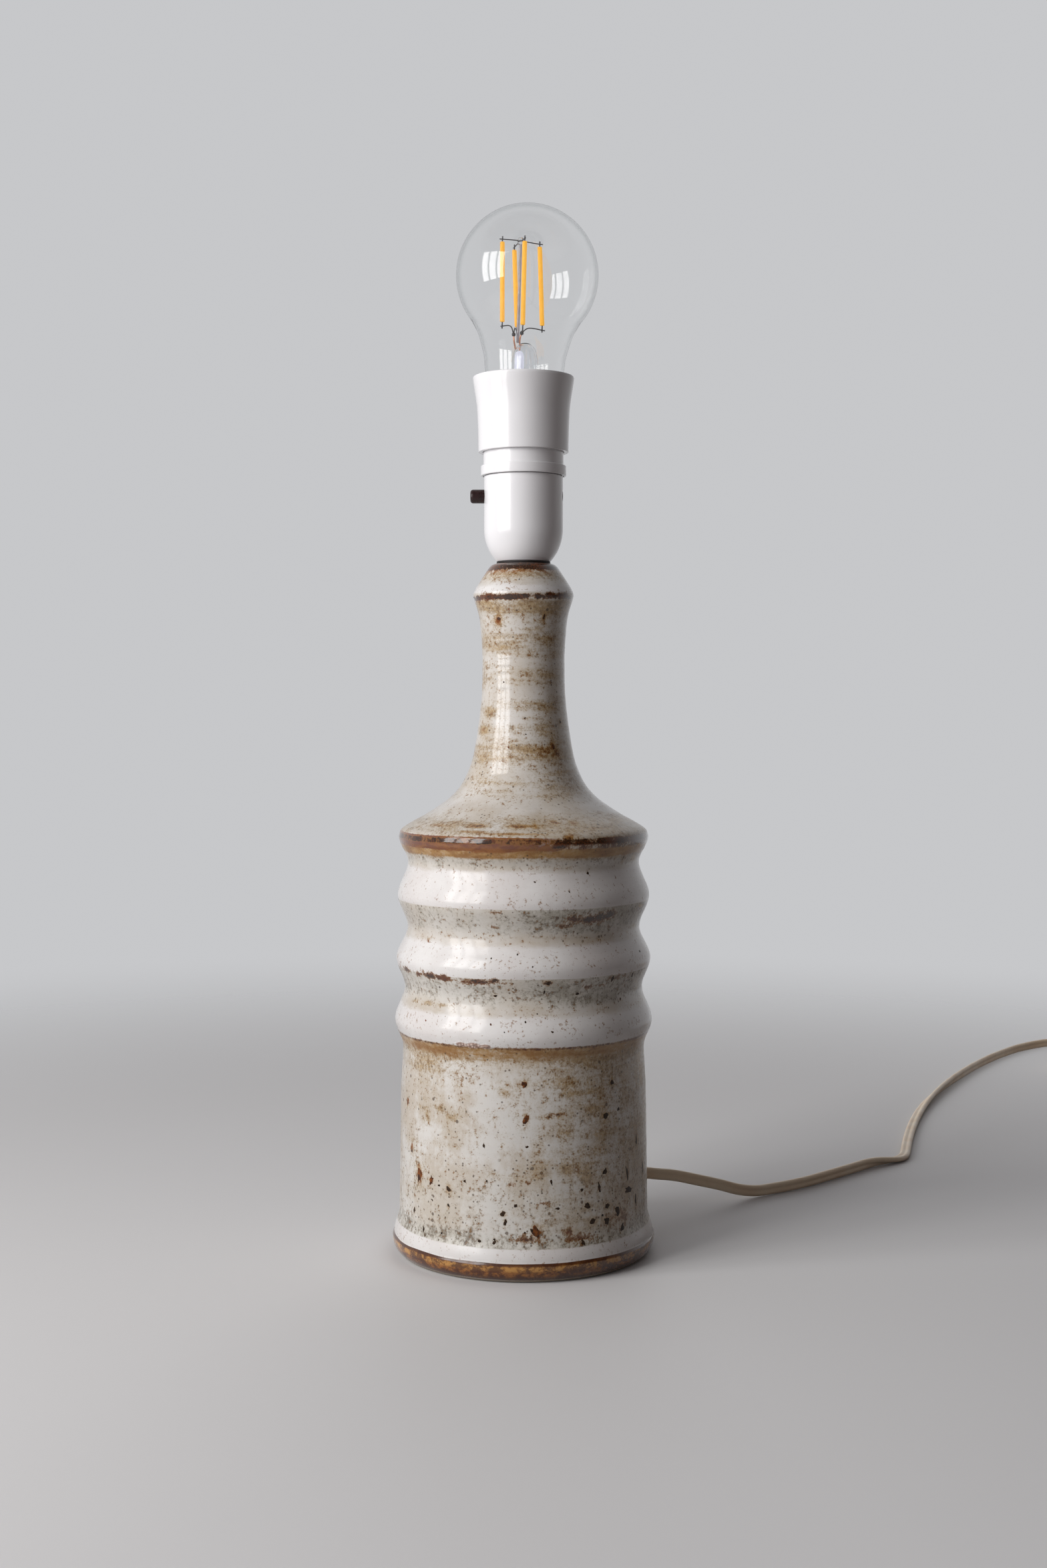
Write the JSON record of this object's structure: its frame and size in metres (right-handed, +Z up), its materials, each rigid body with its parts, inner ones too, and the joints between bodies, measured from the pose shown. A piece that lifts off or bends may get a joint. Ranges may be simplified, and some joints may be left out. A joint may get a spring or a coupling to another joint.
{
  "type": "table lamp",
  "caption": "Ribbed glazed stoneware bottle lamp with a push-bar bayonet lampholder, clear filament bulb, flat flex and mains plug.",
  "frame": {"origin": "on the table under the middle of the lamp's round foot", "axes": "+Z up the lamp's axis; -X the way the push bar sticks out; the picture looks along +Y; the cord leaves between +X and +Y"},
  "size_m": [0.4625, 0.546, 0.4408],
  "materials": {
    "glazed_stoneware": "gloss glaze, mottled, iron specks and brown edges",
    "white_plastic": "gloss",
    "plug_plastic": "satin",
    "brown_plastic": "satin",
    "black_rubber": "matte",
    "bush_rubber": "matte",
    "steel": "satin",
    "brass": "satin",
    "nickel": "gloss",
    "solder": "satin",
    "black_glass": "gloss",
    "clear_glass": "gloss",
    "filament_coating": "matte",
    "copper": "satin",
    "driver_board": "matte",
    "flex_cream": "satin",
    "core_brown": "satin",
    "core_blue": "satin"
  },
  "bodies": {
    "base": {"ceramic_body": "glazed_stoneware", "holder_cap": "white_plastic", "holder_barrel": "white_plastic", "contact_block": "white_plastic", "plug_cover": "plug_plastic", "plug_base": "plug_plastic", "plug_cord_grip": "plug_plastic", "seat_washer": "black_rubber", "cord_bush": "bush_rubber", "clamp_washer": "steel", "clamp_nut": "steel", "entry_lock_screw": "steel", "terminal_screw_live": "steel", "terminal_screw_neutral": "steel", "plug_screw": "steel", "threaded_tube": "brass", "terminal_live": "brass", "terminal_neutral": "brass", "plug_pin_earth": "brass", "plug_pin_live": "brass", "plug_pin_neutral": "brass", "bayonet_sleeve": "nickel", "plug_fuse": "nickel", "cord_lead": "flex_cream", "cord_coil": "flex_cream", "cord_tail": "flex_cream", "inner_flex": "flex_cream", "core_live": "core_brown", "core_neutral": "core_blue"},
    "switch": {"switch_bar": "brown_plastic", "switch_blade": "brass"},
    "contacts": {"plunger_live": "brass", "plunger_neutral": "brass", "plunger_spring_live": "steel", "plunger_spring_neutral": "steel"},
    "bulb": {"bulb_glass": "clear_glass", "bulb_cap": "nickel", "bulb_pin_left": "nickel", "bulb_pin_right": "nickel", "bulb_insulator": "black_glass", "bulb_pad_live": "solder", "bulb_pad_neutral": "solder", "driver_board": "driver_board", "stem_glass": "clear_glass", "exhaust_tube": "clear_glass", "support_rod": "clear_glass", "filament_1": "filament_coating", "filament_2": "filament_coating", "filament_3": "filament_coating", "filament_4": "filament_coating", "upper_wires": "steel", "lower_wire_live": "steel", "lower_wire_neutral": "steel", "lead_wire_live": "copper", "lead_wire_neutral": "copper"},
    "ring": {"shade_ring": "white_plastic"},
    "skirt": {"holder_skirt": "white_plastic"}
  },
  "joints": [
    {"name": "switch_slide", "type": "slide", "parent": "base", "child": "switch", "axis": [1, 0, 0], "range_m": [0, 0.0056]},
    {"name": "bulb_press", "type": "slide", "parent": "base", "child": "contacts", "axis": [0, 0, 1], "range_m": [-0.002, 0], "stiffness_N_per_m": 2000, "springref_m": 0.003, "deforming": ["plunger_spring_live", "plunger_spring_neutral"]},
    {"name": "bulb_turn", "type": "hinge", "parent": "contacts", "child": "bulb", "pos_m": [0, 0, 0.34], "axis": [0, 0, 1], "range_deg": [0, 20]},
    {"name": "ring_turn", "type": "hinge", "parent": "base", "child": "ring", "pos_m": [0, 0, 0.327], "axis": [0, 0, 1], "range_deg": [0, 90]},
    {"name": "skirt_turn", "type": "hinge", "parent": "base", "child": "skirt", "pos_m": [0, 0, 0.34], "axis": [0, 0, 1], "range_deg": [0, 90]}
  ]
}
